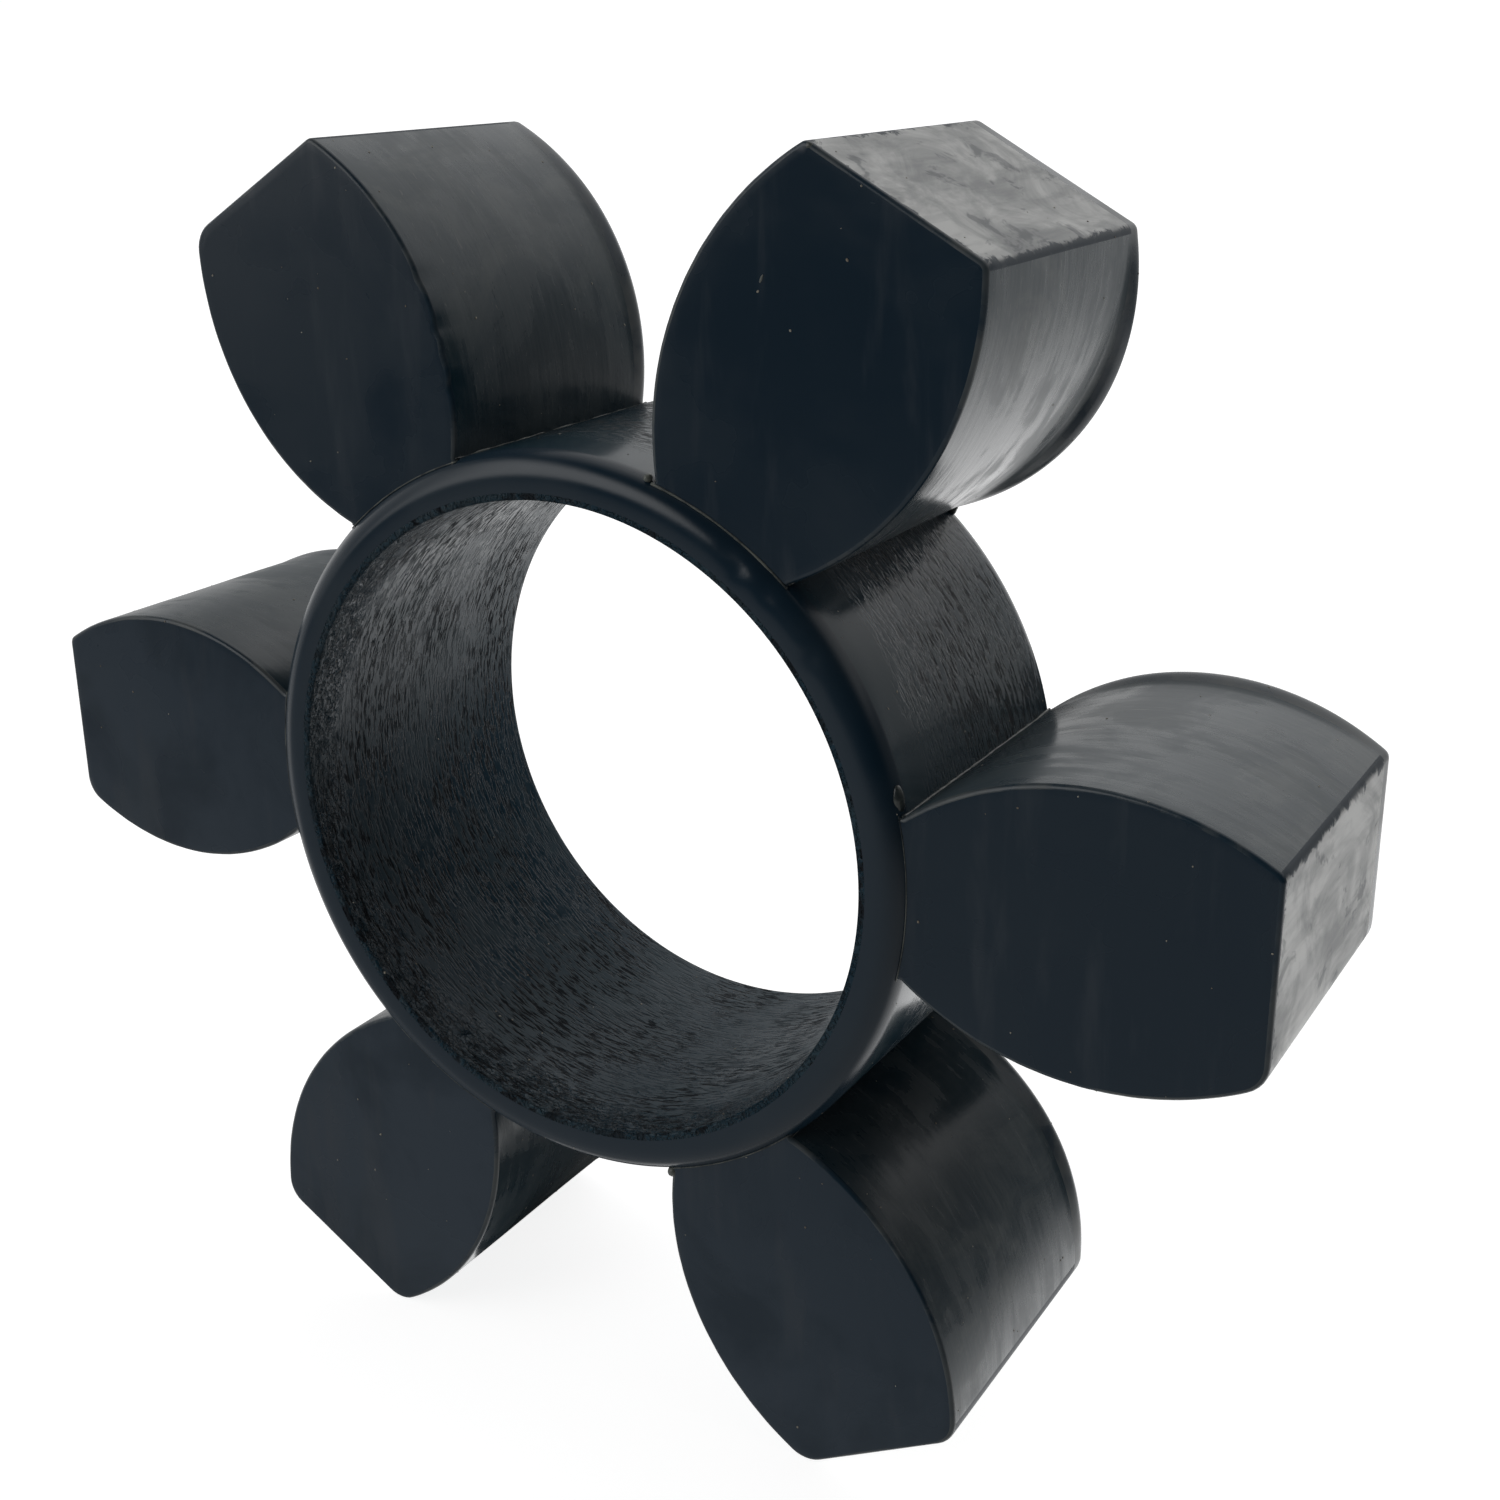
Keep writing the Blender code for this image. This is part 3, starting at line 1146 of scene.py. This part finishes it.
@dataclass
class Dust:
    """Specks of dust and talc on the rubber."""

    body: bpy.types.Object
    count: int = 600
    seed: int = 11
    sizes: tuple[float, float] = (0.05 * MM, 0.14 * MM)
    stretch: tuple[float, float] = (0.6, 1.6)
    flatness: float = 0.5
    tip_gap: float = 0.5 * MM
    rim_gap: float = 0.25 * MM
    talc: Colour = (0.42, 0.40, 0.34, 1.0)
    grit: Colour = (0.20, 0.17, 0.13, 1.0)

    def material(self) -> bpy.types.Material:
        """Pale tan specks."""
        sketch = MaterialSketch("dust_specks")
        tone = sketch.share(Cloud((700.0,) * 3, 1.0), Ramp(0.35, 0.65))
        sketch.set("Base Color", sketch.blend(tone, self.talc, self.grit))
        sketch.set("Roughness", 0.8)
        return sketch.material

    def build(self) -> bpy.types.Object:
        """Scatter the specks over the body, evenly by area.

        Returns:
            The specks as one piece.
        """
        mesh = self.body.data
        mesh.calc_loop_triangles()
        triangles = list(mesh.loop_triangles)
        dice = random.Random(self.seed)
        shape = bmesh.new()
        picked = dice.choices(triangles, weights=[triangle.area for triangle in triangles], k=self.count)
        for triangle in picked:
            first, second, third = (mesh.vertices[index].co for index in triangle.vertices)
            one, two = dice.random(), dice.random()
            if one + two > 1:
                one, two = 1 - one, 1 - two
            spot = first + (second - first) * one + (third - first) * two
            size = dice.uniform(*self.sizes)
            if abs(spot.x) > TIP_REACH - self.tip_gap or abs(spot.y) > RIM_DEPTH - self.rim_gap:
                continue
            lean = triangle.normal.to_track_quat("Z", "Y").to_matrix().to_4x4()
            spin = Matrix.Rotation(dice.uniform(0, math.pi), 4, "Z")
            form = Matrix.Diagonal((size, size * dice.uniform(*self.stretch), size * self.flatness, 1.0))
            place = Matrix.Translation(spot) @ lean @ spin @ form
            bmesh.ops.create_icosphere(shape, subdivisions=1, radius=1.0, matrix=place)
        piece = linked_object("dust", shape, [self.material()])
        piece.data.shade_smooth()
        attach(piece, BODY)
        return piece


@dataclass(frozen=True)
class Dome:
    """Soft light from all round: bright behind, dim in front, with a low window on the left.

    Each ramp runs along the direction that the light comes from: across to the right, along to the back or
    up. The far left is a weak strip, and the ground a weak glow from below in front.
    """

    depth: Ramp = Ramp(-0.30, 0.40, 0.04, 1.12)
    low: Ramp = Ramp(-0.20, -0.50, 1.0, 1.3)
    left: Ramp = Ramp(-0.62, -0.22, 0.45, 1.0)
    right: Ramp = Ramp(0.0, 0.75, 0.0, 0.85)
    right_foot: Ramp = Ramp(-0.55, -0.20)
    right_head: Ramp = Ramp(0.25, 0.50, 1.0, 0.4)
    far_left: Ramp = Ramp(-0.80, -0.93, 0.0, 0.55)
    front: Ramp = Ramp(-0.05, -0.30)
    ground: Ramp = Ramp(-0.12, -0.36, 0.0, 0.38)
    sill: Ramp = Ramp(-0.04, 0.16)
    sill_start: float = -0.55
    sill_slope: float = 0.75
    lintel: Ramp = Ramp(0.55, 0.85, 1.0, 0.0)
    left_jamb: Ramp = Ramp(-0.90, -0.66)
    right_jamb: Ramp = Ramp(-0.26, -0.05, 1.0, 0.0)
    window_level: float = 2.1

    def back(self, sketch: NodeSketch, across: Socket, along: Socket, up: Socket) -> Socket:
        """The bright back, brighter low down and dimmer to both sides."""
        dim = sketch.product(
            sketch.between(across, self.right),
            sketch.between(up, self.right_foot),
            sketch.between(up, self.right_head),
        )
        return sketch.product(
            sketch.between(along, self.depth),
            sketch.between(up, self.low),
            sketch.between(across, self.left),
            sketch.rest(dim),
        )

    def window(self, sketch: NodeSketch, across: Socket, up: Socket) -> Socket:
        """The window's pane over its slanting sill."""
        slant = sketch.product(sketch.math("SUBTRACT", across, self.sill_start), self.sill_slope)
        return sketch.product(
            sketch.between(across, self.left_jamb),
            sketch.between(across, self.right_jamb),
            sketch.between(sketch.math("SUBTRACT", up, slant), self.sill),
            sketch.between(up, self.lintel),
            self.window_level,
        )

    def build(self) -> None:
        """Make the world and light it."""
        world = bpy.data.worlds.new("studio")
        bpy.context.scene.world = world
        world.use_nodes = True
        sketch = NodeSketch(world.node_tree, "Generated")
        across, along, up = (sketch.axis(name) for name in "XYZ")
        ahead = sketch.sum(self.window(sketch, across, up), sketch.between(up, self.ground))
        ahead = sketch.product(ahead, sketch.between(along, self.front))
        beside = sketch.between(across, self.far_left)
        level = sketch.sum(self.back(sketch, across, along, up), sketch.sum(beside, ahead))
        background = world.node_tree.nodes["Background"]
        sketch.plug(level, background.inputs["Strength"])
        sketch.plug((1.0, 1.0, 1.0, 1.0), background.inputs["Color"])


@dataclass(frozen=True)
class Shade:
    """A dark round card: its name, centre, radius and turn about X, 0 for one that lies flat."""

    name: str
    place: tuple[float, float, float]
    size: float
    tilt: float = 0.0


@dataclass(frozen=True)
class Studio:
    """Pale floor and backdrop for the camera alone, dark cards for reflections and shade, and the dome."""

    floor_size: float = 12.0
    floor_grey: float = 0.50
    floor_glow: float = 0.86
    backdrop_share: float = 0.48
    backdrop_glow: float = 1.05
    card_grey: float = 0.14
    card_corners: int = 64
    shades: tuple[Shade, ...] = (
        Shade("floor_shade", (-15 * MM, 22 * MM, FLOOR_HEIGHT - MM), 30 * MM),
        Shade("bore_shade", (-4 * MM, 40 * MM, 6 * MM), 15 * MM, math.radians(90)),
        Shade("root_shade", (38 * MM, 38 * MM, -8 * MM), 20 * MM, math.radians(90)),
    )
    dome: Dome = Dome()

    def show_to_camera_only(self, thing: bpy.types.Object) -> None:
        """Keep a stage object out of reflections, bounces and shadows."""
        thing.visible_diffuse = False
        thing.visible_glossy = False
        thing.visible_transmission = False
        thing.visible_shadow = False

    def plain(self, name: str, grey: float) -> MaterialSketch:
        """Start a plain matt material of one grey."""
        sketch = MaterialSketch(name)
        sketch.set("Base Color", (grey, grey, grey, 1.0))
        sketch.set("Roughness", 1.0)
        return sketch

    def glowing(self, name: str, grey: float, glow: float) -> bpy.types.Material:
        """Matt material that glows white and lights nothing.

        Args:
            name: Its name.
            grey: Grey level that it reflects.
            glow: Strength of its glow.

        Returns:
            The material.
        """
        sketch = self.plain(name, grey)
        sketch.set("Specular IOR Level", 0.0)
        sketch.set("Emission Color", (1.0, 1.0, 1.0, 1.0))
        sketch.set("Emission Strength", glow)
        sketch.material.cycles.emission_sampling = "NONE"
        return sketch.material

    def floor(self) -> None:
        """Lay the floor."""
        bpy.ops.mesh.primitive_plane_add(size=self.floor_size, location=(0.0, 0.0, FLOOR_HEIGHT))
        floor = bpy.context.object
        floor.name = "floor"
        floor.data.materials.append(self.glowing("pale_floor", self.floor_grey, self.floor_glow))
        self.show_to_camera_only(floor)

    def backdrop(self) -> None:
        """Put a plain shell round everything."""
        bpy.ops.mesh.primitive_uv_sphere_add(radius=self.floor_size * self.backdrop_share)
        shell = bpy.context.object
        shell.name = "backdrop"
        shell.data.materials.append(self.glowing("pale_backdrop", 0.0, self.backdrop_glow))
        self.show_to_camera_only(shell)

    def put_up(self, shade: Shade) -> None:
        """Put up a dark card that shows only in reflections and as shade."""
        bpy.ops.mesh.primitive_circle_add(
            radius=shade.size, fill_type="NGON", vertices=self.card_corners, location=shade.place
        )
        card = bpy.context.object
        card.name = shade.name
        card.rotation_euler.x = shade.tilt
        card.data.materials.append(self.plain(shade.name, self.card_grey).material)
        card.visible_camera = False
        card.visible_diffuse = False

    def build(self) -> None:
        """Set up the studio."""
        self.floor()
        self.backdrop()
        for shade in self.shades:
            self.put_up(shade)
        self.dome.build()
        bpy.context.scene.view_settings.view_transform = "Standard"


@dataclass
class PhotoCamera:
    """Camera at the photograph's viewing angle."""

    azimuth: float = 33.5
    elevation: float = 19.2
    roll: float = -1.6
    distance: float = 0.2037
    target: tuple[float, float, float] = (0.0057, -0.0100, 0.0096)
    lens: float = 47.4
    shift: tuple[float, float] = (0.066, -0.017)

    def build(self) -> bpy.types.Object:
        """Place the camera.

        Returns:
            The camera, set as the scene's own.
        """
        around, above = math.radians(self.azimuth), math.radians(self.elevation)
        level = math.cos(above)
        back = Vector((math.sin(around) * level, -math.cos(around) * level, math.sin(above)))
        data = bpy.data.cameras.new("camera")
        data.lens = self.lens
        data.shift_x, data.shift_y = self.shift
        data.clip_start = 0.01
        camera = bpy.data.objects.new("camera", data)
        bpy.context.scene.collection.objects.link(camera)
        upright = back.to_track_quat("Z", "Y").to_matrix().to_4x4()
        rolled = upright @ Matrix.Rotation(math.radians(self.roll), 4, "Z")
        camera.matrix_world = Matrix.Translation(Vector(self.target) + back * self.distance) @ rolled
        bpy.context.scene.camera = camera
        return camera


# Lobes by their angle from straight up, with the wear and mould mismatch that the photograph shows on each
LOBES = (
    Lobe(30, lips=(0.4 * MM, 1.6 * MM), back_round=0.6 * MM),
    Lobe(90, worn=(False, True), lips=(0.7 * MM, 0.5 * MM)),
    Lobe(150, worn=(True, True), lips=(0.5 * MM, 0.4 * MM)),
    Lobe(210, worn=(True, True)),
    Lobe(270, worn=(True, False)),
    Lobe(
        330,
        worn=(True, False),
        nicks=(
            Nick(55.0 * MM, 0.9 * MM, 0.30 * MM),
            Nick(50.0 * MM, 0.7 * MM, 0.45 * MM),
            Nick(47.5 * MM, 1.1 * MM, 0.30 * MM),
            Nick(44.5 * MM, 0.6 * MM, 0.35 * MM),
        ),
    ),
)

LUMPS = (
    Lump((0.0374, -0.0171, 0.0098), (0.0006, 0.0007, 0.0014), -8.0),
    Lump((0.0264, 0.0172, 0.0290), (0.0008, 0.0006, 0.0006), 42.0),
    Lump((0.0118, -0.0172, -0.0375), (0.0007, 0.0007, 0.0007), 163.0),
    Lump((0.0112, -0.0176, 0.0374), (0.0004, 0.0005, 0.0004), 17.0),
    Lump((0.0283, -0.0175, 0.0674), (0.0005, 0.0003, 0.0005), 23.0),
    Lump((0.0237, -0.01776, 0.0563), (0.0004, 0.00006, 0.00012), 115.0),
)


def main() -> None:
    """Build the studio and the insert."""
    logging.basicConfig(level=logging.INFO, format="%(name)s: %(message)s")
    PhotoCamera().build()
    Studio().build()
    LOG.info("studio ready")
    for finish in FINISHES.values():
        finish.material()
    ring = Ring()
    body = MouldedBody(ring, list(LOBES)).build()
    LOG.info("body: %d faces", len(body.data.polygons))
    flash = Flash(ring, list(LOBES), LUMPS).build()
    LOG.info("flash: %d faces", len(flash.data.polygons))
    dust = Dust(body).build()
    LOG.info("dust: %d faces", len(dust.data.polygons))


if __name__ == "__main__":
    main()
